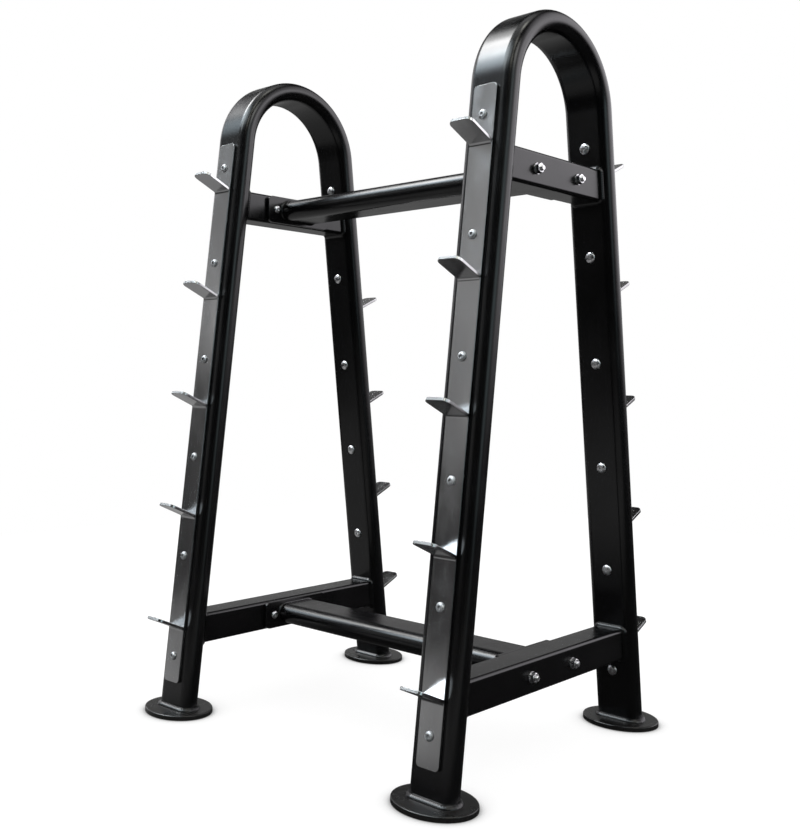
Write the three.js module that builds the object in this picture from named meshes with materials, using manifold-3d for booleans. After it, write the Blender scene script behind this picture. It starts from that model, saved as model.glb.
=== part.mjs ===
// Barbell storage rack. Two bent flat-oval side frames stand on foot plates, are tied by two bolted
// crossbars, and carry five pairs of bar hooks on each face. Millimetres, +Z up, origin on the floor
// under the middle of the rack, X across the two side frames, -Y the front.

import * as THREE from 'three';
import { mergeVertices } from 'three/addons/utils/BufferGeometryUtils.js';
import Module from 'manifold-3d';

const wasm = await Module();
wasm.setup();

// Whole rack
const rackHeight = 1400;
const frameSpacing = 740;
const footSpread = 590;
const bendRadius = 149;

// Flat-oval tube of the side frames
const tubeAcross = 100;
const tubeDeep = 41;
const tubeWall = 3;

// Square tube of the side beams, and how far it stays from the bolts above and below it
const beamSize = 64;
const beamWall = 3;
const beamCornerRadius = 7;
const upperBeamDrop = 31.5;
const lowerBeamRise = 17;

// Flat-oval tube of the crossbars, which lies flat
const crossbarAcross = 106;
const crossbarDeep = 45;
const crossbarWall = 3;

// Flange plates at the ends of the crossbars
const flangeThickness = 8;
const flangeInset = 2;
const flangeEdge = 24;
const flangeCornerRadius = 12;
const flangeBoltRoom = 12.5;
const flangeWeldLeg = 3;

// Elliptical foot plates, which stand out past the ends and the flat sides of the tube
const footThickness = 10;
const footRimEnd = 34;
const footRimSide = 42.5;
const footBevel = 2.5;

// Fillet welds and the gap left at every joint
const weldLeg = 6;
const seatGap = 0.3;

// Hook strips
const stripThickness = 6;
const stripEdge = 4;
const stripTopGap = 16;
const stripFootGap = 53;
const stripCornerRadius = 10;
const stripBoltEnd = 54.5;
const stripBoltCount = 6;

// Hook plates on the strips
const hookCount = 5;
const hookTopEnd = 107;
const hookFootEnd = 113;
const hookLength = 67;
const hookThickness = 6;
const hookCornerRadius = 13;
const hookRise = THREE.MathUtils.degToRad(18.6);

// Button heads with a hexagon socket
const buttonDiameter = 17.5;
const buttonHeight = 4.5;
const socketAcross = 6;
const socketDepth = 2.5;

// Screws that clamp a strip to its leg, each with a flanged barrel nut on the inner face
const screwDiameter = 10;
const barrelHeadDiameter = 22;
const barrelHeadHeight = 5;

// Bolts that clamp a crossbar flange to its side beam, and their nuts
const boltDiameter = 10;
const nutAcross = 17;
const nutHeight = 8.4;
const washerDiameter = 21;
const washerThickness = 2;
const boltTipLength = 5;
const boltTipChamfer = 1;
const boreClearance = 0.5;
const cutOverrun = 4;

// Smoothness
const arcSteps = 6;
const bendSteps = 14;
const cornerSteps = 2;
const ellipseSides = 20;
const roundSides = 10;
const boreSides = 6;
const domeSteps = 2;

// Places worked out from the sizes above
const bendHeight = rackHeight - bendRadius - tubeDeep / 2;
const footHalfSpread = footSpread / 2;
const footReach = Math.hypot(footHalfSpread, bendHeight);
const lean = Math.acos(bendRadius / footReach) - Math.atan2(bendHeight, footHalfSpread);
const sinLean = Math.sin(lean);
const cosLean = Math.cos(lean);
const tangentY = bendRadius * cosLean;
const tangentZ = bendHeight + bendRadius * sinLean;
const legLength = tangentZ / cosLean;
const legFootCut = footThickness + seatGap;

const stripAcross = tubeAcross - tubeDeep - 2 * stripEdge;
const stripLength = legLength - stripTopGap - stripFootGap - footThickness / cosLean;
const stripBack = tubeDeep / 2 + seatGap;
const stripFront = stripBack + stripThickness;
const stripBoltPitch = (stripLength - 2 * stripBoltEnd) / (stripBoltCount - 1);
const hookPitch = (stripLength - hookTopEnd - hookFootEnd) / (hookCount - 1);

// Distance down the leg, from the end of the bend, of the screw and of the hook with this number
const screwPlace = (index) => stripTopGap + stripBoltEnd + index * stripBoltPitch;
const hookPlace = (index) => stripTopGap + hookTopEnd + index * hookPitch;

// Height of a screw where it leaves the inner face of the leg
const screwHeight = (index) => tangentZ - screwPlace(index) * cosLean - (tubeDeep / 2) * sinLean;

const upperBeamHeight = screwHeight(0) - barrelHeadDiameter / 2 - upperBeamDrop - beamSize / 2;
const lowestHeadTop = screwHeight(stripBoltCount - 1) + barrelHeadDiameter / 2;
const lowerBeamHeight = lowestHeadTop + lowerBeamRise + beamSize / 2;
const boltOffset = crossbarAcross / 2 + flangeBoltRoom;
const flangeLength = 2 * (boltOffset + flangeEdge);
const flangeHeight = beamSize - 2 * flangeInset;
const flangePlace = frameSpacing / 2 - beamSize / 2 - seatGap;
const crossbarLength = 2 * (flangePlace - flangeThickness - seatGap);

// Finishes
const finishes = {
  powderCoat: { color: 0x101012, roughness: 0.35, metalness: 0.2 },
  stainless: { color: 0x8f9094, roughness: 0.3, metalness: 1 },
  zinc: { color: 0xb4b6ba, roughness: 0.3, metalness: 1 },
};

function piece(name, geometry, finish) {
  const mesh = new THREE.Mesh(geometry, new THREE.MeshStandardMaterial(finishes[finish]));
  mesh.name = name;
  return mesh;
}

// Booleans

function toSolid(geometry) {
  const bare = geometry.clone();
  bare.deleteAttribute('normal');
  bare.deleteAttribute('uv');
  const merged = mergeVertices(bare);
  return new wasm.Manifold(new wasm.Mesh({
    numProp: 3,
    vertProperties: merged.attributes.position.array,
    triVerts: new Uint32Array(merged.index.array),
  }));
}

function toGeometry(solid) {
  const mesh = solid.getMesh();
  const geometry = new THREE.BufferGeometry();
  geometry.setAttribute('position', new THREE.BufferAttribute(mesh.vertProperties, 3));
  geometry.setIndex(new THREE.BufferAttribute(mesh.triVerts, 1));
  geometry.computeVertexNormals();
  return geometry;
}

function cut(geometry, cutters) {
  let solid = toSolid(geometry);
  for (const cutter of cutters) {
    solid = solid.subtract(toSolid(cutter));
  }
  return toGeometry(solid);
}

function join(geometries) {
  let solid = toSolid(geometries[0]);
  for (const geometry of geometries.slice(1)) {
    solid = solid.add(toSolid(geometry));
  }
  return toGeometry(solid);
}

// Outlines, each a loop of [x, y] points that runs anticlockwise

function arc(centreX, centreY, radius, from, to, steps) {
  const points = [];
  for (let i = 0; i <= steps; i++) {
    const angle = from + (to - from) * i / steps;
    points.push([centreX + radius * Math.cos(angle), centreY + radius * Math.sin(angle)]);
  }
  return points;
}

function flatOval(across, deep) {
  const radius = deep / 2;
  const centre = across / 2 - radius;
  return [
    ...arc(centre, 0, radius, -Math.PI / 2, Math.PI / 2, arcSteps),
    ...arc(-centre, 0, radius, Math.PI / 2, 3 * Math.PI / 2, arcSteps),
  ];
}

function ellipse(across, deep) {
  const points = [];
  for (let i = 0; i < ellipseSides; i++) {
    const angle = 2 * Math.PI * i / ellipseSides;
    points.push([across / 2 * Math.cos(angle), deep / 2 * Math.sin(angle)]);
  }
  return points;
}

function roundedRectangle(width, height, radius) {
  const x = width / 2 - radius;
  const y = height / 2 - radius;
  return [
    ...arc(x, y, radius, 0, Math.PI / 2, cornerSteps),
    ...arc(-x, y, radius, Math.PI / 2, Math.PI, cornerSteps),
    ...arc(-x, -y, radius, Math.PI, 3 * Math.PI / 2, cornerSteps),
    ...arc(x, -y, radius, 3 * Math.PI / 2, 2 * Math.PI, cornerSteps),
  ];
}

function outlineShape(outline) {
  return new THREE.Shape(outline.map(([x, y]) => new THREE.Vector2(x, y)));
}

// A bore is a prism whose flats stay clear of what passes through it
function boreRadius(diameter) {
  return (diameter / 2 + boreClearance) / Math.cos(Math.PI / boreSides);
}

function borePath(diameter, x, y) {
  const turn = 2 * Math.PI;
  return new THREE.Path(arc(x, y, boreRadius(diameter), 0, turn - turn / boreSides, boreSides - 1)
    .map(([px, py]) => new THREE.Vector2(px, py)));
}

function plate(shape, thickness) {
  return new THREE.ExtrudeGeometry(shape, { depth: thickness, bevelEnabled: false, curveSegments: 1 });
}

// Lofted skins. Every ring has the same number of points, and runs anticlockwise seen from the last ring.

function skin(rings, faces) {
  const geometry = new THREE.BufferGeometry();
  geometry.setAttribute('position', new THREE.Float32BufferAttribute(rings.flat(2), 3));
  geometry.setIndex(faces.flat());
  geometry.computeVertexNormals();
  return geometry;
}

function wallFaces(first, second, count) {
  const faces = [];
  for (let i = 0; i < count; i++) {
    const next = (i + 1) % count;
    faces.push([first + i, first + next, second + next], [first + i, second + next, second + i]);
  }
  return faces;
}

// A solid body through the rings, closed by a flat face at each end
function loft(rings) {
  const count = rings[0].length;
  const last = (rings.length - 1) * count;
  const faces = [];
  for (let i = 0; i + 1 < rings.length; i++) {
    faces.push(...wallFaces(i * count, (i + 1) * count, count));
  }
  for (let i = 1; i + 1 < count; i++) {
    faces.push([0, i + 1, i], [last, last + i, last + i + 1]);
  }
  return skin(rings, faces);
}

// A ring-shaped body whose section is the closed loop of rings
function loftLoop(rings) {
  const count = rings[0].length;
  const faces = rings.map((ring, i) => wallFaces(i * count, ((i + 1) % rings.length) * count, count));
  return skin(rings, faces.flat());
}

// A tube between outer rings and the inner rings that face them
function loftTube(outer, inner) {
  return loftLoop([...outer, ...inner.toReversed()]);
}

// Solids of revolution about Y, from [radius, height] points that start and end on the axis
function turned(profile) {
  return new THREE.LatheGeometry(profile.map(([x, y]) => new THREE.Vector2(x, y)), roundSides);
}

function hexagon(acrossFlats, height) {
  const sides = 6;
  return new THREE.CylinderGeometry(acrossFlats / Math.sqrt(3), acrossFlats / Math.sqrt(3), height, sides);
}

// What a bore cuts away, along Y
function boreCutter(diameter, length) {
  const radius = boreRadius(diameter);
  return new THREE.CylinderGeometry(radius, radius, length, boreSides);
}

// Side frame

// Turns coordinates of the front leg into the frame's: x across, y out of the leg's face, z down the leg
function onLeg(geometry) {
  return geometry.rotateX(Math.PI - lean).translate(0, -tangentY, tangentZ);
}

// A point of the bent tube at an angle round the bend, which is zero at the top and grows to the front
function bendPoint(x, out, angle) {
  const radius = bendRadius + out;
  return [x, -radius * Math.sin(angle), bendHeight + radius * Math.cos(angle)];
}

// A point of the foot end of the leg, which is cut level; side is 1 at the front and -1 at the rear
function footPoint(x, out, side) {
  const down = (tangentZ + out * sinLean - legFootCut) / cosLean;
  return [x, -side * (tangentY + down * sinLean + out * cosLean), legFootCut];
}

function archRings(outline) {
  const sweep = Math.PI / 2 - lean;
  const rings = [outline.map(([x, out]) => footPoint(x, out, -1))];
  for (let i = 0; i <= bendSteps; i++) {
    const angle = 2 * sweep * i / bendSteps - sweep;
    rings.push(outline.map(([x, out]) => bendPoint(x, out, angle)));
  }
  rings.push(outline.map(([x, out]) => footPoint(x, out, 1)));
  return rings;
}

function archTube() {
  const outer = flatOval(tubeAcross, tubeDeep);
  const inner = flatOval(tubeAcross - 2 * tubeWall, tubeDeep - 2 * tubeWall);
  const bores = [];
  for (let i = 0; i < stripBoltCount; i++) {
    const front = onLeg(boreCutter(screwDiameter, tubeDeep + 2 * cutOverrun)
      .translate(0, 0, screwPlace(i)));
    bores.push(front, front.clone().rotateZ(Math.PI));
  }
  return cut(loftTube(archRings(outer), archRings(inner)), bores);
}

// Fillet weld round a flat-oval tube that stands on a plate and leans by the given angle. It starts below
// the face of the plate, so that it joins the plate.
function weldCollar(across, deep, tilt, sink, leg) {
  const ring = (grow, height) => flatOval(across + 2 * grow, deep / Math.cos(tilt) + 2 * grow)
    .map(([x, y]) => [x, y + height * Math.tan(tilt), height]);
  return loftLoop([ring(seatGap, -sink), ring(leg, -sink), ring(leg, 0), ring(seatGap, leg)]);
}

function footPlate() {
  const across = tubeAcross + 2 * footRimEnd;
  const deep = tubeDeep + 2 * footRimSide;
  const ring = (inset, height) => ellipse(across - 2 * inset, deep - 2 * inset)
    .map(([x, y]) => [x, y, height]);
  const base = loft([ring(0, 0), ring(0, footThickness - footBevel), ring(footBevel, footThickness)]);
  const collar = weldCollar(tubeAcross, tubeDeep, lean, footThickness / 2, weldLeg)
    .translate(0, 0, footThickness);
  return join([base, collar]);
}

// Centre of the leg's level section at this height
function legCentre(height) {
  return tangentY + (tangentZ - height) * Math.tan(lean);
}

// A square tube between the inner faces of the two legs, with its ends cut to their slope
function sideBeam(height) {
  const outer = roundedRectangle(beamSize, beamSize, beamCornerRadius);
  const innerSize = beamSize - 2 * beamWall;
  const inner = roundedRectangle(innerSize, innerSize, beamCornerRadius - beamWall);
  const reach = (z) => legCentre(height + z) - (tubeDeep / 2 + seatGap) / cosLean;
  const rings = (outline) => [
    outline.map(([x, z]) => [x, reach(z), z]),
    outline.map(([x, z]) => [x, -reach(z), z]),
  ];
  const bores = [-boltOffset, boltOffset].map((y) => boreCutter(boltDiameter, beamSize + 2 * cutOverrun)
    .rotateZ(Math.PI / 2).translate(0, y, 0));
  return cut(loftTube(rings(outer), rings(inner)), bores);
}

// Hook strip, in the coordinates of the leg

function hookPlate(place) {
  const root = hookThickness * Math.tan(hookRise) + stripThickness / 2;
  const side = stripAcross / 2;
  const outline = [
    [-side, -root],
    [side, -root],
    ...arc(side - hookCornerRadius, hookLength - hookCornerRadius, hookCornerRadius,
      0, Math.PI / 2, cornerSteps + 1),
    ...arc(-side + hookCornerRadius, hookLength - hookCornerRadius, hookCornerRadius,
      Math.PI / 2, Math.PI, cornerSteps + 1),
  ];
  const slanted = plate(outlineShape(outline), hookThickness).rotateY(Math.PI).rotateX(-hookRise)
    .translate(0, stripFront, place);
  const behind = new THREE.BoxGeometry(tubeAcross, hookLength, hookLength)
    .translate(0, stripFront - (stripThickness + hookLength) / 2, place);
  return cut(slanted, [behind]);
}

// Fillet weld under a hook plate, as a wedge between the plate and the strip
function hookWeld(place) {
  const sink = Math.min(stripThickness, hookThickness) / 4;
  const along = Math.cos(hookRise);
  const up = Math.sin(hookRise);
  const wedge = outlineShape([
    [-sink, weldLeg],
    [0, weldLeg],
    [weldLeg * along, -weldLeg * up],
    [weldLeg * along - sink * up, -weldLeg * up - sink * along],
    [-sink, -sink],
  ]);
  const width = stripAcross - 2 * seatGap;
  return plate(wedge, width).rotateZ(Math.PI / 2).rotateY(Math.PI / 2)
    .translate(-width / 2, stripFront, place);
}

function hookStrip() {
  const outline = roundedRectangle(stripAcross, stripLength, stripCornerRadius);
  const shape = outlineShape(outline);
  for (let i = 0; i < stripBoltCount; i++) {
    const place = stripLength / 2 - screwPlace(i) + stripTopGap;
    shape.holes.push(borePath(screwDiameter, 0, place));
  }
  const strip = plate(shape, stripThickness).rotateX(-Math.PI / 2)
    .translate(0, stripBack, stripTopGap + stripLength / 2);
  const parts = [strip];
  for (let i = 0; i < hookCount; i++) {
    parts.push(hookPlate(hookPlace(i)), hookWeld(hookPlace(i)));
  }
  return join(parts);
}

// Fasteners

function dome(diameter, height) {
  const points = [];
  for (let i = 0; i <= domeSteps; i++) {
    const angle = Math.PI / 2 * i / domeSteps;
    points.push([diameter / 2 * Math.cos(angle), height * Math.sin(angle)]);
  }
  return points;
}

// Hexagon socket of a button head whose crown is at this height on the Y axis
function socketCutter(crown) {
  return hexagon(socketAcross, 2 * socketDepth).translate(0, crown, 0);
}

// Screw through a strip and its leg, along Y, with its button head outside and its barrel nut inside
function stripScrew() {
  const headSeat = stripFront + seatGap;
  const nutSeat = -tubeDeep / 2 - seatGap;
  const body = turned([
    ...dome(barrelHeadDiameter, barrelHeadHeight).map(([r, h]) => [r, nutSeat - h]).toReversed(),
    [screwDiameter / 2, nutSeat],
    [screwDiameter / 2, headSeat],
    ...dome(buttonDiameter, buttonHeight).map(([r, h]) => [r, headSeat + h]),
  ]);
  return cut(body, [socketCutter(headSeat + buttonHeight), socketCutter(nutSeat - barrelHeadHeight)]);
}

// Bolt through a flange plate and a side beam, along X, with its button head on the flange
function flangeBolt() {
  const headSeat = -beamSize / 2 - 2 * seatGap - flangeThickness;
  const tip = beamSize / 2 + seatGap + washerThickness + nutHeight + boltTipLength;
  const body = turned([
    ...dome(buttonDiameter, buttonHeight).map(([r, h]) => [r, headSeat - h]).toReversed(),
    [boltDiameter / 2, headSeat],
    [boltDiameter / 2, tip - boltTipChamfer],
    [boltDiameter / 2 - boltTipChamfer, tip],
    [0, tip],
  ]);
  return cut(body, [socketCutter(headSeat - buttonHeight)]).rotateZ(-Math.PI / 2);
}

// Nut with its washer, on the outer face of a side beam, along X
function flangeNut() {
  const seat = beamSize / 2 + seatGap;
  const inside = boltDiameter / 2 + seatGap;
  const washer = washerDiameter / 2;
  const height = washerThickness + nutHeight;
  const nutSeat = seat + washerThickness;
  const disc = turned([[0, seat], [washer, seat], [washer, nutSeat], [0, nutSeat]]);
  const hex = hexagon(nutAcross, height).translate(0, seat + height / 2, 0);
  const hole = new THREE.CylinderGeometry(inside, inside, height + 2 * cutOverrun, roundSides)
    .translate(0, seat + height / 2, 0);
  return cut(join([disc, hex]), [hole]).rotateZ(-Math.PI / 2);
}

// Crossbar

function crossbarTube() {
  const rings = (across, deep) => [-1, 1].map((end) => flatOval(across, deep)
    .map(([y, z]) => [end * crossbarLength / 2, y, z]));
  const outer = rings(crossbarAcross, crossbarDeep);
  const inner = rings(crossbarAcross - 2 * crossbarWall, crossbarDeep - 2 * crossbarWall);
  return loftTube(outer, inner);
}

// Flange plate with its length along Y and the crossbar's weld on the face towards -X
function flangePlate() {
  const shape = outlineShape(roundedRectangle(flangeLength, flangeHeight, flangeCornerRadius));
  for (const side of [-1, 1]) {
    shape.holes.push(borePath(boltDiameter, side * boltOffset, 0));
  }
  const face = plate(shape, flangeThickness);
  const collar = weldCollar(crossbarAcross, crossbarDeep, 0, flangeThickness / 2, flangeWeldLeg)
    .translate(0, 0, flangeThickness);
  return join([face, collar]).rotateX(Math.PI / 2).rotateZ(-Math.PI / 2);
}

// Assembly

const rack = new THREE.Group();

function addLeg(frame, label, end) {
  const leg = new THREE.Group();
  leg.rotation.z = end === 'front' ? 0 : Math.PI;
  frame.add(leg);

  const foot = piece(`foot_plate_${label}_${end}`, footPlate(), 'powderCoat');
  foot.position.y = -legCentre(footThickness);
  leg.add(foot);

  const face = new THREE.Group();
  face.rotation.x = Math.PI - lean;
  face.position.set(0, -tangentY, tangentZ);
  leg.add(face);
  face.add(piece(`hook_strip_${label}_${end}`, hookStrip(), 'stainless'));
  for (let i = 0; i < stripBoltCount; i++) {
    const screw = piece(`strip_screw_${label}_${end}_${i + 1}`, stripScrew(), 'zinc');
    screw.position.z = screwPlace(i);
    face.add(screw);
  }
}

// One crossbar joint: the flange plate on the inner face of the side beam, its two bolts and their nuts
function addFlange(frame, label, side, level, height) {
  const joint = new THREE.Group();
  joint.position.z = height;
  joint.rotation.z = side > 0 ? 0 : Math.PI;
  frame.add(joint);

  const flange = piece(`flange_plate_${label}_${level}`, flangePlate(), 'powderCoat');
  flange.position.x = -beamSize / 2 - seatGap;
  joint.add(flange);

  for (const [place, end] of [['front', -1], ['rear', 1]]) {
    const bolt = piece(`flange_bolt_${label}_${level}_${place}`, flangeBolt(), 'zinc');
    const nut = piece(`flange_nut_${label}_${level}_${place}`, flangeNut(), 'zinc');
    bolt.position.y = side * end * boltOffset;
    nut.position.y = side * end * boltOffset;
    joint.add(bolt, nut);
  }
}

function addSideFrame(label, side) {
  const frame = new THREE.Group();
  frame.position.x = side * frameSpacing / 2;
  rack.add(frame);

  frame.add(piece(`arch_tube_${label}`, archTube(), 'powderCoat'));
  for (const end of ['front', 'rear']) {
    addLeg(frame, label, end);
  }

  for (const [level, height] of [['upper', upperBeamHeight], ['lower', lowerBeamHeight]]) {
    const beam = piece(`side_beam_${label}_${level}`, sideBeam(height), 'powderCoat');
    beam.position.z = height;
    frame.add(beam);
    addFlange(frame, label, side, level, height);
  }
}

addSideFrame('right', 1);
addSideFrame('left', -1);
for (const [level, height] of [['upper', upperBeamHeight], ['lower', lowerBeamHeight]]) {
  const crossbar = piece(`crossbar_${level}`, crossbarTube(), 'powderCoat');
  crossbar.position.z = height;
  rack.add(crossbar);
}

export default rack;
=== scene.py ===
import math

import bpy
from mathutils import Matrix, Vector


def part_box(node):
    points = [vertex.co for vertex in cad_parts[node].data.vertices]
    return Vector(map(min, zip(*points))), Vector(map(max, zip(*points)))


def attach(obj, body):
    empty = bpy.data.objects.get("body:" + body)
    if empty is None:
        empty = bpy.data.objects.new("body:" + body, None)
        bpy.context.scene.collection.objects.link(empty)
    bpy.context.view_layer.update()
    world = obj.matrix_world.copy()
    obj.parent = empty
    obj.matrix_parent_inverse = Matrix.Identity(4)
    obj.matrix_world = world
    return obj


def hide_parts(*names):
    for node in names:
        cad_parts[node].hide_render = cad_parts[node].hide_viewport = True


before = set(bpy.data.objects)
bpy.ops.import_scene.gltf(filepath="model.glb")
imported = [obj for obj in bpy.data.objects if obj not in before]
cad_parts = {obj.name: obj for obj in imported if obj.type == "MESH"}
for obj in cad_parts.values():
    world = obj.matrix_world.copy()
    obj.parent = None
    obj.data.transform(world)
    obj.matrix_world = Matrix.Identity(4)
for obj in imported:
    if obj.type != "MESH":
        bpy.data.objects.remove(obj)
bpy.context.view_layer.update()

# Driving sizes in metres. The rest is worked out from these and from the frame's boxes.
mm = 0.001
bend_radius = 149 * mm
foot_spread = 590 * mm
tube_deep = 41 * mm
foot_thickness = 10 * mm
foot_edge = 2.5 * mm
foot_chamfer = 0.4 * mm
beam_corner = 7 * mm
flange_thickness = 8 * mm
flange_corner = 12 * mm
bolt_offset = 65.5 * mm
seat_gap = 0.3 * mm
plate_edge = 0.9 * mm

# Hook strips
strip_thickness = 6 * mm
strip_side_gap = 4 * mm
strip_top_gap = 16 * mm
strip_foot_gap = 53 * mm
strip_corner = 8 * mm
strip_bolt_end = 54.5 * mm
strip_bolt_count = 6
hook_count = 5
hook_top_end = 107 * mm
hook_foot_end = 113 * mm
hook_length = 67 * mm
hook_thickness = 6 * mm
hook_corner = 13 * mm
hook_rise = math.radians(18.6)

# Fasteners
button_diameter = 17.5 * mm
button_height = 4.5 * mm
barrel_head_diameter = 22 * mm
barrel_head_height = 5 * mm
head_foot_inset = 0.2 * mm
head_foot_height = 0.3 * mm
head_rim_height = 0.8 * mm
socket_across = 6 * mm
socket_depth = 2.5 * mm
socket_chamfer = 0.3 * mm
socket_mouth = 1.04 * socket_across
socket_flat = 1.6 * socket_across
socket_cone_depth = 0.6 * mm
socket_cone_tip = 0.1 * socket_across
bolt_diameter = 10 * mm
bolt_tip_length = 5 * mm
bolt_tip_sink = 2 * mm
bolt_chamfer = 1 * mm
thread_pitch = 1.5 * mm
thread_depth = 0.45 * mm
crest_share = 0.2
root_share = 0.6
nut_across = 17 * mm
nut_height = 8.4 * mm
nut_face_share = 0.95
nut_chamfer = math.radians(30)
nut_mouth_gap = 0.7 * mm
nut_mouth_depth = 0.6 * mm
nut_bore_gap = 0.1 * mm
nut_bore_depth = 1.5 * mm
washer_diameter = 21 * mm
washer_thickness = 2 * mm
washer_edge = 0.3 * mm

# Welds. Sink, crown, valley and ripple are shares of a bead's leg, and the bow is a share of the pitch.
foot_weld_leg = 7.5 * mm
beam_weld_leg = 7 * mm
flange_weld_leg = 3 * mm
weld_pitch = 4.4 * mm
weld_sink = 0.12
weld_crown = 0.13
weld_valley = 0.95
weld_ripple = 0.07
ripple_bow = 0.3
hook_weld_leg = 3.8 * mm
hook_weld_sink = 1.5 * mm
hook_weld_flatness = 0.45
# Height as a share of the leg, and angle from one column to the next in radians
hook_weld_waves = ((0.05, 41), (0.04, 17))

# Smoothness
oval_steps = 20
bend_steps = 84
corner_steps = 8
edge_steps = 4
dome_steps = 8
round_points = 48
weld_samples = 6
fillet_steps = 7
hook_weld_steps = 8
hook_weld_columns = 25
sharp_angle = math.radians(38)
full_turn = 2 * math.pi
quarter_turn = math.pi / 2

# Places worked out from the sizes
arch_low, arch_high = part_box("arch_tube_right")
rack_height = arch_high.z
tube_across = arch_high.x - arch_low.x
frame_x = (arch_high.x + arch_low.x) / 2
bend_height = rack_height - bend_radius - tube_deep / 2
foot_reach = math.hypot(foot_spread / 2, bend_height)
lean = math.acos(bend_radius / foot_reach) - math.atan2(bend_height, foot_spread / 2)
tangent_y = bend_radius * math.cos(lean)
tangent_z = bend_height + bend_radius * math.sin(lean)
leg_length = tangent_z / math.cos(lean)
strip_across = tube_across - tube_deep - 2 * strip_side_gap
strip_length = leg_length - strip_top_gap - strip_foot_gap - foot_thickness / math.cos(lean)
strip_back = tube_deep / 2 + seat_gap
strip_front = strip_back + strip_thickness
strip_bolt_pitch = (strip_length - 2 * strip_bolt_end) / (strip_bolt_count - 1)
hook_pitch = (strip_length - hook_top_end - hook_foot_end) / (hook_count - 1)
sides = {"right": 1, "left": -1}
ends = {"front": 1, "rear": -1}
levels = ("upper", "lower")
plate_axis = Vector((0, 0, 1))


def screw_place(index):
    return strip_top_gap + strip_bolt_end + index * strip_bolt_pitch


def hook_place(index):
    return strip_top_gap + hook_top_end + index * hook_pitch


# Node materials

coat_ior = 1.4
cut_end_roughness = 0.6


def new_material(name):
    material = bpy.data.materials.new(name)
    material.use_nodes = True
    return material, material.node_tree.nodes, material.node_tree.links


def feed(links, socket, value):
    """Sets a socket to a number, or links it to another socket."""
    if isinstance(value, (int, float)):
        socket.default_value = value
    else:
        links.new(value, socket)


def noise(nodes, links, scale, detail=2, stretch=(1, 1, 1)):
    """The factor of a noise texture in object coordinates, stretched along the axes."""
    place = nodes.new("ShaderNodeTexCoord")
    mapping = nodes.new("ShaderNodeMapping")
    mapping.inputs["Scale"].default_value = stretch
    texture = nodes.new("ShaderNodeTexNoise")
    texture.inputs["Scale"].default_value = scale
    texture.inputs["Detail"].default_value = detail
    links.new(place.outputs["Object"], mapping.inputs["Vector"])
    links.new(mapping.outputs["Vector"], texture.inputs["Vector"])
    return texture.outputs["Fac"]


def spread(nodes, links, factor, low, high, start=0.3, end=0.7, kind="LINEAR"):
    """Maps a factor between start and end to a number between low and high."""
    node = nodes.new("ShaderNodeMapRange")
    node.interpolation_type = kind
    node.inputs["From Min"].default_value = start
    node.inputs["From Max"].default_value = end
    node.inputs["To Min"].default_value = low
    node.inputs["To Max"].default_value = high
    links.new(factor, node.inputs["Value"])
    return node.outputs["Result"]


def blend_colours(nodes, links, factor, dark, light, start=0.35, end=0.65):
    """Runs from the dark colour at start to the light one at end."""
    ramp = nodes.new("ShaderNodeValToRGB")
    stops = ramp.color_ramp.elements
    for stop, colour, position in zip(stops, (dark, light), (start, end)):
        stop.color = (*colour, 1)
        stop.position = position
    links.new(factor, ramp.inputs["Fac"])
    return ramp.outputs["Color"]


def bump(nodes, links, height, distance, strength, below=None):
    node = nodes.new("ShaderNodeBump")
    node.inputs["Strength"].default_value = strength
    node.inputs["Distance"].default_value = distance
    links.new(height, node.inputs["Height"])
    if below is not None:
        links.new(below, node.inputs["Normal"])
    return node.outputs["Normal"]


def calculate(nodes, links, operation, first, second=0):
    node = nodes.new("ShaderNodeMath")
    node.operation = operation
    feed(links, node.inputs[0], first)
    feed(links, node.inputs[1], second)
    return node.outputs["Value"]


def product(nodes, links, first, second):
    return calculate(nodes, links, "MULTIPLY", first, second)


def add(nodes, links, first, second):
    return calculate(nodes, links, "ADD", first, second)


def powder_coat(name, dark, light, roughness):
    """Black powder coat: fine orange peel over shallow waves, and slow changes of tone and gloss."""
    material, nodes, links = new_material(name)
    shader = nodes["Principled BSDF"]
    shader.inputs["IOR"].default_value = coat_ior
    tone = noise(nodes, links, scale=5, detail=3)
    links.new(blend_colours(nodes, links, tone, dark, light), shader.inputs["Base Color"])
    gloss = noise(nodes, links, scale=14, detail=4)
    links.new(spread(nodes, links, gloss, *roughness), shader.inputs["Roughness"])
    peel = bump(nodes, links, noise(nodes, links, scale=520), distance=0.0002, strength=0.05)
    swell = noise(nodes, links, scale=70)
    waves = bump(nodes, links, swell, distance=0.0006, strength=0.05, below=peel)
    links.new(waves, shader.inputs["Normal"])
    return material


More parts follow.
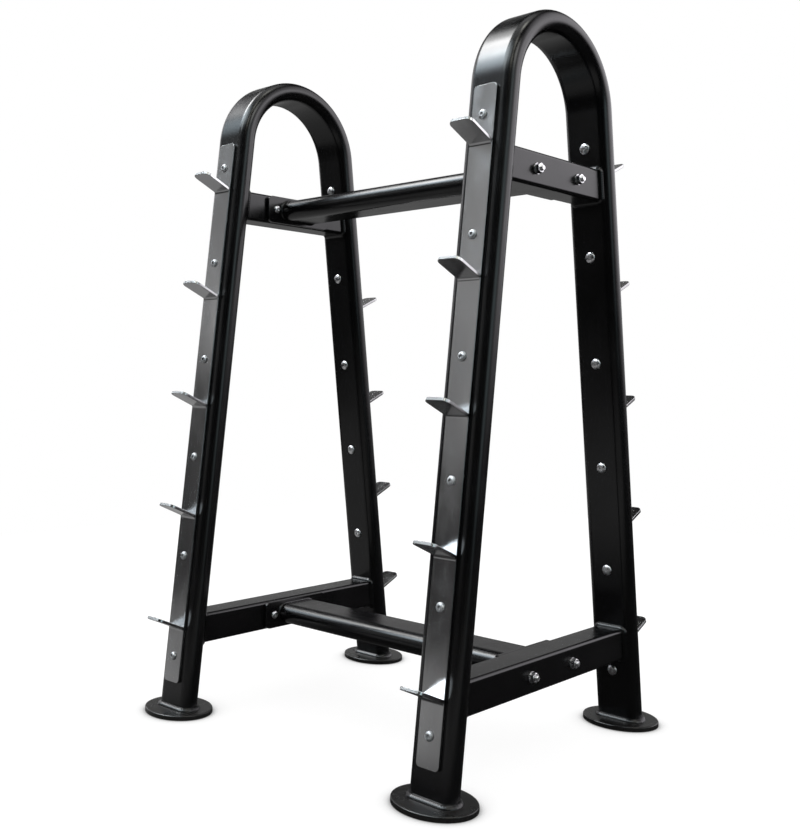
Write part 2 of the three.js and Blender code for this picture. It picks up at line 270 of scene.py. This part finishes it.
def satin_steel(name, dark, light, roughness):
    """Stainless steel brushed along the strips, with faint smudges and waves. The cut ends of the hooks,
    whose faces look outward and a little up, are rough."""
    material, nodes, links = new_material(name)
    shader = nodes["Principled BSDF"]
    shader.inputs["Metallic"].default_value = 1
    tone = noise(nodes, links, scale=9, detail=3, stretch=(1, 0.4, 0.4))
    links.new(blend_colours(nodes, links, tone, dark, light), shader.inputs["Base Color"])

    lines = noise(nodes, links, scale=1400, detail=3, stretch=(1, 0.015, 0.015))
    grain = spread(nodes, links, lines, low=-0.03, high=0.03)
    smudge = noise(nodes, links, scale=26, detail=4, stretch=(1, 0.5, 0.5))
    haze = spread(nodes, links, smudge, *roughness)
    face = nodes.new("ShaderNodeNewGeometry")
    facing_to = nodes.new("ShaderNodeSeparateXYZ")
    links.new(face.outputs["True Normal"], facing_to.inputs["Vector"])
    outward = calculate(nodes, links, "ABSOLUTE", facing_to.outputs["Y"])
    looks_out = spread(nodes, links, outward, low=0, high=1, start=0.7, end=0.85)
    looks_up = spread(nodes, links, facing_to.outputs["Z"], low=0, high=1, start=0.2, end=0.35)
    cut_end = product(nodes, links, product(nodes, links, looks_out, looks_up), cut_end_roughness)
    links.new(add(nodes, links, add(nodes, links, grain, haze), cut_end), shader.inputs["Roughness"])

    swell = noise(nodes, links, scale=22, stretch=(1, 0.5, 0.5))
    waves = bump(nodes, links, swell, distance=0.001, strength=0.12)
    brushed = bump(nodes, links, lines, distance=0.0001, strength=0.06, below=waves)
    links.new(brushed, shader.inputs["Normal"])
    return material


def plated_steel(name, dark, light, roughness):
    """Zinc-plated steel with a fine mottle."""
    material, nodes, links = new_material(name)
    shader = nodes["Principled BSDF"]
    shader.inputs["Metallic"].default_value = 1
    tone = noise(nodes, links, scale=160, detail=3)
    links.new(blend_colours(nodes, links, tone, dark, light), shader.inputs["Base Color"])
    links.new(spread(nodes, links, tone, *roughness), shader.inputs["Roughness"])
    mottle = noise(nodes, links, scale=900)
    links.new(bump(nodes, links, mottle, distance=0.0001, strength=0.1), shader.inputs["Normal"])
    return material


coat = powder_coat("powder_coat", dark=(0.0014, 0.0014, 0.0017), light=(0.0025, 0.0024, 0.0027),
                   roughness=(0.19, 0.27))
# Foot plates: a lighter, rougher copy of the coat, partly dust and partly a painted sheen that stands in
# for the light their tops reflect
dust_and_sheen = powder_coat("dust_and_sheen_powder_coat", dark=(0.006, 0.0058, 0.0055), light=(0.013, 0.0125, 0.012),
                    roughness=(0.24, 0.32))
satin = satin_steel("satin_steel", dark=(0.345, 0.345, 0.349), light=(0.43, 0.43, 0.434),
                    roughness=(0.13, 0.25))
bright = plated_steel("bright_steel", dark=(0.55, 0.55, 0.56), light=(0.68, 0.68, 0.69),
                      roughness=(0.24, 0.34))
dull = plated_steel("dull_steel", dark=(0.33, 0.33, 0.335), light=(0.42, 0.42, 0.425),
                    roughness=(0.48, 0.6))


# Outlines, each a loop of (x, y) points that runs anticlockwise


def arc(centre_x, centre_y, radius, start, stop, steps):
    angles = [start + (stop - start) * i / steps for i in range(steps + 1)]
    return [(centre_x + radius * math.cos(a), centre_y + radius * math.sin(a)) for a in angles]


def flat_oval(across, deep):
    radius = deep / 2
    centre = across / 2 - radius
    return (arc(centre, 0, radius, -quarter_turn, quarter_turn, oval_steps)
            + arc(-centre, 0, radius, quarter_turn, 3 * quarter_turn, oval_steps))


def ellipse(across, deep):
    angles = [full_turn * i / round_points for i in range(round_points)]
    return [(across / 2 * math.cos(a), deep / 2 * math.sin(a)) for a in angles]


def circle(radius):
    return ellipse(2 * radius, 2 * radius)


def rounded_rectangle(width, height, radius):
    x = width / 2 - radius
    y = height / 2 - radius
    corners = ((x, y), (-x, y), (-x, -y), (x, -y))
    loops = [arc(cx, cy, radius, i * quarter_turn, (i + 1) * quarter_turn, corner_steps)
             for i, (cx, cy) in enumerate(corners)]
    return sum(loops, [])


def hexagon(across_flats):
    """A hexagon with as many points as the round rings have."""
    side = full_turn / 6
    points = []
    for i in range(round_points):
        angle = full_turn * i / round_points
        radius = across_flats / 2 / math.cos(angle % side - side / 2)
        points.append((radius * math.cos(angle), radius * math.sin(angle)))
    return points


# Meshes


def at_level(outline, level):
    return [(x, y, level) for x, y in outline]


def wall(first, second, count):
    """Faces between two closed rings of points, given by their first points."""
    return [(first + i, first + (i + 1) % count, second + (i + 1) % count, second + i)
            for i in range(count)]


def loft(rings):
    """Points and faces of the solid through the rings, which run anticlockwise seen from the last one."""
    count = len(rings[0])
    points = [point for ring in rings for point in ring]
    faces = [tuple(reversed(range(count)))]
    for i in range(len(rings) - 1):
        faces += wall(i * count, (i + 1) * count, count)
    last = (len(rings) - 1) * count
    faces.append(tuple(range(last, last + count)))
    return points, faces


def loft_loop(rings):
    """Points and faces of the ring-shaped solid whose section is the closed loop of rings."""
    count = len(rings[0])
    points = [point for ring in rings for point in ring]
    faces = []
    for i in range(len(rings)):
        faces += wall(i * count, (i + 1) % len(rings) * count, count)
    return points, faces


def slab(outline, thickness, edge):
    """A plate along Z with rounded edges. outline(inset) gives its loop, drawn in by that inset."""
    rings = []
    for i in range(edge_steps + 1):
        angle = quarter_turn * i / edge_steps
        rings.append((edge * (1 - math.sin(angle)), edge * (1 - math.cos(angle))))
    rings += [(inset, thickness - height) for inset, height in reversed(rings)]
    return loft([at_level(outline(inset), height) for inset, height in rings])


def piece(name, shape, finish, place=None, stands_for=()):
    """A smooth mesh piece of the rack that rides on its only body."""
    points, faces = shape
    mesh = bpy.data.meshes.new(name)
    matrix = place or Matrix.Identity(4)
    mesh.from_pydata([matrix @ Vector(point) for point in points], [], faces)
    mesh.validate()
    mesh.shade_smooth()
    mesh.set_sharp_from_angle(angle=sharp_angle)
    mesh.materials.append(finish)
    made = bpy.data.objects.new(name, mesh)
    bpy.context.scene.collection.objects.link(made)
    normals = made.modifiers.new("weighted_normals", "WEIGHTED_NORMAL")
    normals.keep_sharp = True
    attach(made, "root")
    if stands_for:
        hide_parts(*stands_for)


def shift(x, y, z):
    return Matrix.Translation((x, y, z))


def turn(axis, angle):
    return Matrix.Rotation(angle, 4, axis)


def facing(end):
    """Half a turn about Z for the rear, and none for the front."""
    return turn("Z", 0 if ends[end] > 0 else math.pi)


def leg_place(side, end):
    """From leg coordinates, x across, y out of the leg's face and z down the leg, to the rack's."""
    return (shift(sides[side] * frame_x, 0, 0) @ facing(end)
            @ shift(0, -tangent_y, tangent_z) @ turn("X", math.pi - lean))


def leg_centre(height):
    """Distance from the middle of the frame to the leg's middle at this height."""
    return tangent_y + (tangent_z - height) * math.tan(lean)


# Side frame


def bend_point(x, out, angle):
    radius = bend_radius + out
    return x, -radius * math.sin(angle), bend_height + radius * math.cos(angle)


def foot_point(x, out, end):
    """Where a line along the leg, this far out of its middle, ends just above the foot plate."""
    level = foot_thickness + seat_gap
    down = (tangent_z + out * math.sin(lean) - level) / math.cos(lean)
    return x, -end * (tangent_y + down * math.sin(lean) + out * math.cos(lean)), level


def arch_tube():
    outline = flat_oval(tube_across, tube_deep)
    sweep = quarter_turn - lean
    rings = [[foot_point(x, out, -1) for x, out in outline]]
    for i in range(bend_steps + 1):
        angle = sweep * (2 * i / bend_steps - 1)
        rings.append([bend_point(x, out, angle) for x, out in outline])
    rings.append([foot_point(x, out, 1) for x, out in outline])
    return loft(rings)


def foot_plate(across, deep):
    """Elliptical plate with a rounded upper edge and a small chamfer below."""
    def outline(inset):
        return ellipse(across - 2 * inset, deep - 2 * inset)
    rings = [(foot_chamfer, 0), (0, foot_chamfer)]
    steps = edge_steps + 1
    for i in range(steps + 1):
        angle = quarter_turn * i / steps
        height = foot_thickness - foot_edge * (1 - math.sin(angle))
        rings.append((foot_edge * (1 - math.cos(angle)), height))
    return loft([at_level(outline(inset), height) for inset, height in rings])


def side_beam(height, size):
    """Square beam whose ends are cut along the slope of the legs."""
    outline = rounded_rectangle(size, size, beam_corner)

    def ring(end):
        points = []
        for x, z in outline:
            reach = leg_centre(height + z) - (tube_deep / 2 + seat_gap) / math.cos(lean)
            points.append((x, end * reach, z))
        return points
    return loft([ring(1), ring(-1)])


# Weld beads


def resample(loop, step):
    """Points at even steps round a closed loop, and its length."""
    closed = loop + [loop[0]]
    lengths = [(b - a).length for a, b in zip(closed, closed[1:])]
    total = sum(lengths)
    count = round(total / step)
    result = []
    index = 0
    passed = 0
    for i in range(count):
        target = total * i / count
        while passed + lengths[index] < target:
            passed += lengths[index]
            index += 1
        share = (target - passed) / lengths[index]
        result.append(closed[index].lerp(closed[index + 1], share))
    return result, total


def weld(loop, axis, leg):
    """A rippled fillet weld round a closed loop of points, in the corner between the tube inside the
    loop and the plate below it. The axis points out of the plate."""
    points, total = resample([Vector(p) for p in loop], weld_pitch / weld_samples)
    ripples = round(total / weld_pitch)
    count = len(points)
    rings = []
    for i, point in enumerate(points):
        along = (points[(i + 1) % count] - points[i - 1]).normalized()
        out = along.cross(axis).normalized()
        ring = [point + leg * (out - weld_sink * axis)]
        for j in range(fillet_steps + 1):
            t = j / fillet_steps
            crescent = math.sin(math.pi * t)
            phase = (ripples * i / count + ripple_bow * crescent) % 1
            swell = weld_valley + weld_ripple * math.sqrt(1 - phase)
            raised = weld_crown * crescent
            ring.append(point + leg * swell * ((1 - t + raised) * out + (t + raised) * axis))
        ring.append(point + leg * (axis - 2 * weld_sink * out))
        ring.append(point - leg * (weld_sink * axis + 2 * weld_sink * out))
        rings.append(ring)
    rings.reverse()
    return loft_loop(rings)


def foot_weld():
    loop = at_level(flat_oval(tube_across, tube_deep / math.cos(lean)), 0)
    return weld(loop, plate_axis, foot_weld_leg)


# Hook strips, in leg coordinates


def strip_plate():
    def outline(inset):
        return rounded_rectangle(strip_across - 2 * inset, strip_length - 2 * inset, strip_corner - inset)
    return slab(outline, strip_thickness, plate_edge)


def hook_outline(inset):
    """A hook plate from its root, which is sunk into the strip, to its tip with two round corners."""
    side = strip_across / 2 - inset
    root = hook_thickness * math.tan(hook_rise) + strip_thickness / 2
    tip = hook_length - inset
    radius = hook_corner - inset
    return ([(-side, -root), (side, -root)]
            + arc(side - radius, tip - radius, radius, 0, quarter_turn, corner_steps)
            + arc(-side + radius, tip - radius, radius, quarter_turn, 2 * quarter_turn, corner_steps))


def hook_frame(index):
    return shift(0, strip_front, hook_place(index)) @ turn("X", -hook_rise) @ turn("Y", math.pi)


def hook_weld():
    """Smooth fillet across the strip under a hook, in leg coordinates about the hook's lower root."""
    width = strip_across - 2 * plate_edge
    sink = hook_weld_sink
    corner = Vector((0, 0))
    rings = []
    for i in range(hook_weld_columns):
        x = width * (i / (hook_weld_columns - 1) - 0.5)
        wave = 1
        for height, angle in hook_weld_waves:
            wave += height * math.sin(angle * i)
        size = hook_weld_leg * wave
        start = Vector((0, size))
        stop = Vector((size * math.cos(hook_rise), -size * math.sin(hook_rise)))
        section = []
        for j in range(hook_weld_steps + 1):
            t = j / hook_weld_steps
            curve = start.lerp(corner, t).lerp(corner.lerp(stop, t), t)
            chord = start.lerp(stop, t)
            section.append(curve.lerp(chord, hook_weld_flatness))
        section.append(stop + Vector((-sink * math.sin(hook_rise), -sink * math.cos(hook_rise))))
        section.append(Vector((-sink, -sink)))
        section.append(Vector((-sink, size)))
        rings.append([(x, y, z) for y, z in section])
    return loft(rings)


# Fasteners along Z, with the seat at zero


def dome_rings(diameter, height):
    """Rings of a button head up to the flat round its socket."""
    radius = diameter / 2
    rings = [at_level(circle(radius - head_foot_inset), 0), at_level(circle(radius), head_foot_height)]
    limit = math.acos(socket_flat / diameter)
    rise = height - head_rim_height
    for i in range(dome_steps + 1):
        angle = limit * i / dome_steps
        level = head_rim_height + rise * math.sin(angle) / math.sin(limit)
        rings.append(at_level(circle(radius * math.cos(angle)), level))
    return rings


def button(diameter, height):
    """Button head with a hexagon socket."""
    rings = dome_rings(diameter, height)
    rings.append(at_level(hexagon(socket_mouth), height))
    rings.append(at_level(hexagon(socket_across), height - socket_chamfer))
    rings.append(at_level(hexagon(socket_across), height - socket_depth))
    rings.append(at_level(circle(socket_cone_tip), height - socket_depth - socket_cone_depth))
    return loft(rings)


def washer():
    radius = washer_diameter / 2
    inner = radius - washer_edge
    return loft([
        at_level(circle(inner), 0),
        at_level(circle(radius), washer_edge),
        at_level(circle(radius), washer_thickness - washer_edge),
        at_level(circle(inner), washer_thickness),
    ])


def nut():
    """Hexagon nut with chamfered corners and a countersunk mouth."""
    face = nut_across / 2 * nut_face_share
    mouth = bolt_diameter / 2

    def corner_ring(level, sign):
        ring = []
        for x, y in hexagon(nut_across):
            drop = max(0, math.hypot(x, y) - face) * math.tan(nut_chamfer)
            ring.append((x, y, level - sign * drop))
        return ring
    return loft([
        at_level(circle(face), 0),
        corner_ring(0, -1),
        corner_ring(nut_height, 1),
        at_level(circle(face), nut_height),
        at_level(circle(mouth + nut_mouth_gap), nut_height),
        at_level(circle(mouth + nut_bore_gap), nut_height - nut_mouth_depth),
        at_level(circle(mouth + nut_bore_gap), nut_height - nut_bore_depth),
    ])


def bolt_tip():
    """Threaded end of a bolt that stands out of its nut."""
    radius = bolt_diameter / 2
    length = nut_height + bolt_tip_length
    start = nut_height - bolt_tip_sink
    rings = [at_level(circle(radius), start)]
    level = start + thread_pitch / 4
    while level < length - bolt_chamfer - thread_pitch:
        rings.append(at_level(circle(radius), level + thread_pitch * crest_share))
        rings.append(at_level(circle(radius - thread_depth), level + thread_pitch * root_share))
        level += thread_pitch
    rings.append(at_level(circle(radius), length - bolt_chamfer))
    rings.append(at_level(circle(radius - bolt_chamfer), length))
    return loft(rings)


# Crossbars


def crossbar(length, across, deep):
    outline = flat_oval(across, deep)
    return loft([[(end * length / 2, y, z) for y, z in outline] for end in (-1, 1)])


def flange(width, height):
    def outline(inset):
        return rounded_rectangle(width - 2 * inset, height - 2 * inset, flange_corner - inset)
    return slab(outline, flange_thickness, plate_edge)


# Assembly


def centre_of(node):
    """Middle and size of a node's box."""
    low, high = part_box(node)
    return (low + high) / 2, high - low


def add_leg(side, end):
    label = f"{side}_{end}"
    place = leg_place(side, end)
    outward = turn("X", -quarter_turn)
    inward = turn("X", quarter_turn)
    low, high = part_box(f"foot_plate_{label}")
    middle = (low + high) / 2
    floor_place = shift(middle.x, -ends[end] * leg_centre(foot_thickness), 0)
    piece(f"base_plate_{label}", foot_plate(high.x - low.x, high.y - low.y), dust_and_sheen, floor_place,
          [f"foot_plate_{label}"])
    piece(f"foot_weld_{label}", foot_weld(), coat,
          floor_place @ facing(end) @ shift(0, 0, foot_thickness))

    strip_middle = place @ shift(0, strip_back, strip_top_gap + strip_length / 2)
    piece(f"strip_plate_{label}", strip_plate(), satin, strip_middle @ outward, [f"hook_strip_{label}"])
    for i in range(hook_count):
        piece(f"bar_hook_{label}_{i + 1}", slab(hook_outline, hook_thickness, plate_edge), satin,
              place @ hook_frame(i))
        piece(f"hook_weld_{label}_{i + 1}", hook_weld(), satin,
              place @ shift(0, strip_front, hook_place(i)))
    for i in range(strip_bolt_count):
        screw_middle = place @ shift(0, 0, screw_place(i))
        piece(f"button_screw_{label}_{i + 1}", button(button_diameter, button_height), dull,
              screw_middle @ shift(0, strip_front, 0) @ outward, [f"strip_screw_{label}_{i + 1}"])
        piece(f"barrel_nut_{label}_{i + 1}", button(barrel_head_diameter, barrel_head_height), bright,
              screw_middle @ shift(0, -tube_deep / 2, 0) @ inward)


def add_flange(side, level):
    label = f"{side}_{level}"
    sign = sides[side]
    beam_middle, beam_size = centre_of(f"side_beam_{label}")
    bar_size = centre_of(f"crossbar_{level}")[1]
    low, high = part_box(f"flange_plate_{label}")
    inner_face = sign * (frame_x - beam_size.x / 2 - seat_gap)
    outer_face = sign * (frame_x + beam_size.x / 2)
    to_inside = turn("Y", -sign * quarter_turn)
    to_outside = turn("Y", sign * quarter_turn)
    plate_place = shift(inner_face, 0, beam_middle.z) @ to_inside @ turn("Z", quarter_turn)
    piece(f"flange_{label}", flange(high.y - low.y, high.z - low.z), coat, plate_place,
          [f"flange_plate_{label}"])
    ring = at_level(flat_oval(bar_size.y, bar_size.z), flange_thickness)
    piece(f"flange_weld_{label}", weld(ring, plate_axis, flange_weld_leg), coat, plate_place)
    for place, y in (("front", -bolt_offset), ("rear", bolt_offset)):
        seat = flange_thickness + seat_gap
        head = shift(inner_face, y, beam_middle.z) @ to_inside @ shift(0, 0, seat)
        piece(f"flange_button_{label}_{place}", button(button_diameter, button_height), bright, head,
              [f"flange_bolt_{label}_{place}"])
        on_beam = shift(outer_face, y, beam_middle.z) @ to_outside
        piece(f"washer_{label}_{place}", washer(), bright, on_beam, [f"flange_nut_{label}_{place}"])
        on_washer = on_beam @ shift(0, 0, washer_thickness)
        piece(f"hex_nut_{label}_{place}", nut(), bright, on_washer)
        piece(f"bolt_end_{label}_{place}", bolt_tip(), bright, on_washer)


def add_beam(side, level):
    label = f"{side}_{level}"
    middle, size = centre_of(f"side_beam_{label}")
    place = shift(middle.x, 0, middle.z)
    piece(f"beam_{label}", side_beam(middle.z, size.x), coat, place, [f"side_beam_{label}"])
    outline = rounded_rectangle(size.x, size.x, beam_corner)
    for end, sign in ends.items():
        loop = []
        for x, z in outline:
            reach = leg_centre(middle.z + z) - tube_deep / 2 / math.cos(lean)
            loop.append((x, -sign * reach, z))
        if sign > 0:
            loop.reverse()
        axis = Vector((0, sign * math.cos(lean), -math.sin(lean)))
        piece(f"beam_weld_{label}_{end}", weld(loop, axis, beam_weld_leg), coat, place)


for side, sign in sides.items():
    piece(f"arch_{side}", arch_tube(), coat, shift(sign * frame_x, 0, 0), [f"arch_tube_{side}"])
    for end in ends:
        add_leg(side, end)
    for level in levels:
        add_beam(side, level)
        add_flange(side, level)

for level in levels:
    middle, size = centre_of(f"crossbar_{level}")
    piece(f"cross_tube_{level}", crossbar(size.x, size.y, size.z), coat, shift(0, 0, middle.z),
          [f"crossbar_{level}"])


# Studio

# Floor: paint, glow that whitens it for the camera, and a painted contact shadow where the rack meets it,
# the glow darkened by ambient occlusion
floor_extent = 3
floor_paint = (0.3, 0.3, 0.3, 1)
floor_glow = 0.8
shadow_reach = 45 * mm
shadow_samples = 8
shadow_power = 2
# Floor in reflections, a painted pool of light with painted shade under and behind the rack: strengths,
# and the metres from the rack's middle between which each fade runs
floor_dim = 0.05
floor_lit = 0.4
lit_outside = (0.32, 0.85)
lit_before = (-3, -1.5)
right_gain = (1, 1.15)
right_fade = (-1.2, -0.4)

# Room in reflections: patches of azimuth, height, core and edge in degrees, and their strengths. A foot
# fades in between two heights of the unit direction, the wall's along a tilted axis.
room_level = 0.02
wall_patch = (-145, 14, 8, 40)
wall_strength = 0.44
wall_foot = (123, 79)
wall_foot_fade = (0.055, 0.1)
window_patch = (36, 10, 2, 52)
window_strength = 2.8
window_colour = (1, 0.97, 1.02)
window_foot_fade = (-0.05, 0.2)

# Soft panels of that room: azimuth, height, core and edge in degrees, strength, colour
panels = (
    (0, 90, 14, 30, 1, (1, 1, 1)),
    (-112, 50, 6, 13, 16, (1, 1, 1)),
    (-92, 54, 3, 12, 4, (1, 1, 1)),
    (-127, 42, 4, 13, 11, (0.78, 0.91, 1)),
    (-116, 30, 3, 9, 2.6, (0.75, 0.9, 1)),
    (-158, 48, 8, 19, 10, (0.85, 0.95, 1)),
    (165, 50, 4, 15, 5, (0.85, 0.95, 1)),
    (-88, 20, 6, 24, 1.6, (0.98, 0.97, 1)),
    (-124, 11.5, 1.5, 4, 0.3, (1, 1, 1)),
    (-124, 3, 2, 6, 0.05, (1, 1, 1)),
    (-135, -1, 5, 20, 0.04, (1, 1, 1)),
    (80, 76, 2, 9, 5, (1, 1, 0.9)),
    (122, 58, 2, 9, 5, (1, 1, 0.9)),
    (130, 40, 2, 9, 5, (1, 1, 0.9)),
    (94, 37, 4, 13, 5, (1, 1, 0.97)),
    (55, 18, 4, 16, 1.5, (0.97, 0.97, 1)),
    (99, 14, 4, 20, 1.5, (0.8, 1, 1.05)),
    (-41, 4, 26, 42, 0.2, (1, 1, 1)),
    (-45, 16, 6, 20, 0.14, (1, 1, 1)),
    (-12, 12, 5, 24, 0.14, (0.9, 1, 1)),
)

# Camera: frame in pixels, focal length and optical centre in pixels, place in metres, turns in degrees
image_width, image_height = 800, 840
focal_pixels = 1033.0
centre_pixels = (449.6, 396.3)
sensor_width = 36
camera_place = (1.5205, -1.5844, 0.7145)
camera_yaw = 41.076
camera_pitch = -0.860
camera_roll = 0.536


def vector_math(nodes, links, operation, first, second):
    """A vector node of a socket and a constant."""
    node = nodes.new("ShaderNodeVectorMath")
    node.operation = operation
    node.inputs[1].default_value = second
    links.new(first, node.inputs[0])
    return node


def white_floor():
    """Pale floor that renders white to the camera and keeps the rack's shadow. Reflections see a painted
    pool of light on it
    instead: painted shade under the rack and behind it, and lit in front of it and to its left."""
    material, nodes, links = new_material("pale_floor")
    nodes.clear()
    output = nodes.new("ShaderNodeOutputMaterial")
    path = nodes.new("ShaderNodeLightPath")

    paint = nodes.new("ShaderNodeBsdfDiffuse")
    paint.inputs["Color"].default_value = floor_paint
    occlusion_shade = nodes.new("ShaderNodeAmbientOcclusion")
    occlusion_shade.samples = shadow_samples
    occlusion_shade.inputs["Distance"].default_value = shadow_reach
    glow = nodes.new("ShaderNodeEmission")
    seen = add(nodes, links, path.outputs["Is Camera Ray"], path.outputs["Is Transmission Ray"])
    # Painted contact shadow: the glow is darkened by ambient occlusion near the rack
    shaded = calculate(nodes, links, "POWER", occlusion_shade.outputs["AO"], shadow_power)
    open_floor = product(nodes, links, shaded, floor_glow)
    links.new(product(nodes, links, seen, open_floor), glow.inputs["Strength"])
    plain = nodes.new("ShaderNodeAddShader")
    links.new(paint.outputs["BSDF"], plain.inputs[0])
    links.new(glow.outputs["Emission"], plain.inputs[1])

    place = nodes.new("ShaderNodeTexCoord").outputs["Object"]
    outside = vector_math(nodes, links, "MINIMUM", place, (0, 0, 0)).outputs["Vector"]
    reach = vector_math(nodes, links, "LENGTH", outside, (0, 0, 0)).outputs["Value"]
    parts = nodes.new("ShaderNodeSeparateXYZ")
    links.new(place, parts.inputs["Vector"])
    beside = spread(nodes, links, reach, 0, 1, *lit_outside, "SMOOTHSTEP")
    before = spread(nodes, links, parts.outputs["Y"], 0, 1, *lit_before, "SMOOTHSTEP")
    gain = spread(nodes, links, parts.outputs["X"], *right_gain, *right_fade)
    lit = product(nodes, links, product(nodes, links, beside, before), gain)
    # Painted pool of light that only reflections see: an emission, dim under and behind the rack and lit
    # in front and to the left
    painted_light_pool = nodes.new("ShaderNodeEmission")
    # Twice the range from dim to lit, so that the gain isn't cut off
    strength = spread(nodes, links, lit, floor_dim, 2 * floor_lit - floor_dim, 0, 2)
    links.new(strength, painted_light_pool.inputs["Strength"])
    mix = nodes.new("ShaderNodeMixShader")
    links.new(path.outputs["Is Glossy Ray"], mix.inputs["Fac"])
    links.new(plain.outputs["Shader"], mix.inputs[1])
    links.new(painted_light_pool.outputs["Emission"], mix.inputs[2])
    links.new(mix.outputs["Shader"], output.inputs["Surface"])
    return material


def add_floor():
    far = floor_extent
    mesh = bpy.data.meshes.new("floor")
    mesh.from_pydata([(-far, -far, 0), (far, -far, 0), (far, far, 0), (-far, far, 0)], [], [(0, 1, 2, 3)])
    mesh.materials.append(white_floor())
    floor = bpy.data.objects.new("floor", mesh)
    bpy.context.scene.collection.objects.link(floor)


def sky(azimuth, height):
    """Unit vector with its azimuth from +Y towards +X and its height above the horizon in degrees."""
    turned = math.radians(azimuth)
    raised = math.radians(height)
    return math.cos(raised) * math.sin(turned), math.cos(raised) * math.cos(turned), math.sin(raised)


def patch(nodes, links, place, azimuth, height, core, edge, kind="SMOOTHSTEP"):
    """1 within core degrees of a direction of the room, fading to 0 at edge degrees."""
    dot = vector_math(nodes, links, "DOT_PRODUCT", place, sky(azimuth, height)).outputs["Value"]
    start = math.cos(math.radians(edge))
    end = math.cos(math.radians(core))
    return spread(nodes, links, dot, 0, 1, start, end, kind)


def background(nodes, links, colour, strength):
    node = nodes.new("ShaderNodeBackground")
    node.inputs["Color"].default_value = (*colour, 1)
    feed(links, node.inputs["Strength"], strength)
    return node.outputs["Background"]


def add_world():
    """White all round to the camera and to plain light. Reflections see a dim room instead, with a pale
    wall, a window and soft panels."""
    world = bpy.data.worlds.new("studio")
    bpy.context.scene.world = world
    world.use_nodes = True
    world.cycles.sampling_method = "NONE"
    nodes, links = world.node_tree.nodes, world.node_tree.links
    nodes.clear()
    output = nodes.new("ShaderNodeOutputWorld")
    place = nodes.new("ShaderNodeTexCoord").outputs["Generated"]
    parts = nodes.new("ShaderNodeSeparateXYZ")
    links.new(place, parts.inputs["Vector"])

    tilted = vector_math(nodes, links, "DOT_PRODUCT", place, sky(*wall_foot)).outputs["Value"]
    above = spread(nodes, links, tilted, 0, 1, *wall_foot_fade, "SMOOTHSTEP")
    pale_wall = product(nodes, links, patch(nodes, links, place, *wall_patch), above)
    rising = spread(nodes, links, parts.outputs["Z"], 0, 1, *window_foot_fade)
    window = product(nodes, links, patch(nodes, links, place, *window_patch, "LINEAR"), rising)
    lights = [background(nodes, links, (1, 1, 1), room_level),
              background(nodes, links, (1, 1, 1), product(nodes, links, pale_wall, wall_strength)),
              background(nodes, links, window_colour, product(nodes, links, window, window_strength))]
    for azimuth, raised, core, edge, strength, colour in panels:
        lit = patch(nodes, links, place, azimuth, raised, core, edge)
        lights.append(background(nodes, links, colour, product(nodes, links, lit, strength)))
    room = lights[0]
    for light in lights[1:]:
        join = nodes.new("ShaderNodeAddShader")
        links.new(room, join.inputs[0])
        links.new(light, join.inputs[1])
        room = join.outputs["Shader"]

    path = nodes.new("ShaderNodeLightPath")
    mix = nodes.new("ShaderNodeMixShader")
    links.new(path.outputs["Is Glossy Ray"], mix.inputs["Fac"])
    links.new(background(nodes, links, (1, 1, 1), 1), mix.inputs[1])
    links.new(room, mix.inputs[2])
    links.new(mix.outputs["Shader"], output.inputs["Surface"])


def add_camera():
    """The photograph's view: place, turn, tilt and roll found from the rack's outline."""
    yaw = math.radians(camera_yaw)
    pitch = math.radians(camera_pitch)
    roll = math.radians(camera_roll)
    forward = Vector((-math.sin(yaw) * math.cos(pitch), math.cos(yaw) * math.cos(pitch), math.sin(pitch)))
    level_right = Vector((math.cos(yaw), math.sin(yaw), 0))
    level_up = level_right.cross(forward)
    right = level_right * math.cos(roll) + level_up * math.sin(roll)
    up = level_up * math.cos(roll) - level_right * math.sin(roll)
    data = bpy.data.cameras.new("camera")
    data.sensor_width = sensor_width
    data.lens = focal_pixels / image_height * sensor_width
    data.shift_x = (image_width / 2 - centre_pixels[0]) / image_height
    data.shift_y = (centre_pixels[1] - image_height / 2) / image_height
    camera = bpy.data.objects.new("camera", data)
    bpy.context.scene.collection.objects.link(camera)
    turned = Matrix((right, up, -forward)).transposed().to_4x4()
    camera.matrix_world = shift(*camera_place) @ turned
    bpy.context.scene.camera = camera


add_floor()
add_world()
add_camera()
bpy.context.scene.view_settings.view_transform = "Standard"
